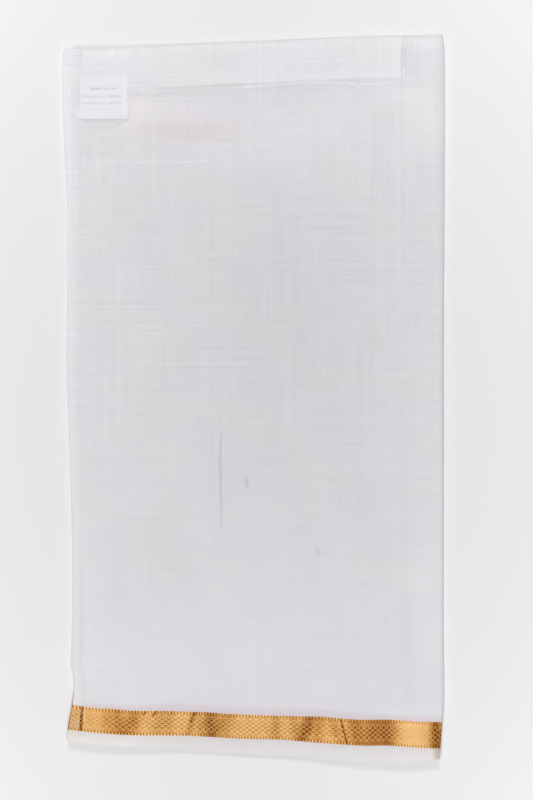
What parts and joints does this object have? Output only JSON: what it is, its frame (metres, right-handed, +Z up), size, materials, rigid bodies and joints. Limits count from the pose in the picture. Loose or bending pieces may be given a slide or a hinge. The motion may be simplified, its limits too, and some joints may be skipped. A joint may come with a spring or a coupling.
{
  "type": "folded dhoti cloth",
  "caption": "Fine white cotton dhoti with a woven gold zari border, folded into a flat pack, with a plain card label.",
  "frame": {"origin": "centre of the folded pack's underside, on the surface it lies on", "axes": "+X across the pack's width towards the closed fold, +Y up its length from the gold border to the far fold, +Z up"},
  "size_m": [0.3443, 0.6533, 0.0149],
  "materials": {
    "cotton": "fine undyed-white cotton, plain weave with slubs, slightly sheer",
    "zari": "gold zari thread woven in a small lattice, soft metallic sheen",
    "label_card": "plain white woven tape label, smooth"
  },
  "bodies": {
    "root": {"inner_layers": "cotton", "under_ply": "cotton", "under_zari": "zari", "under_selvedge": "cotton", "top_ply": "cotton", "zari_border": "zari", "border_selvedge": "cotton", "end_hem": "cotton", "hem_zari": "zari", "hem_selvedge": "cotton", "label": "label_card"}
  },
  "joints": []
}
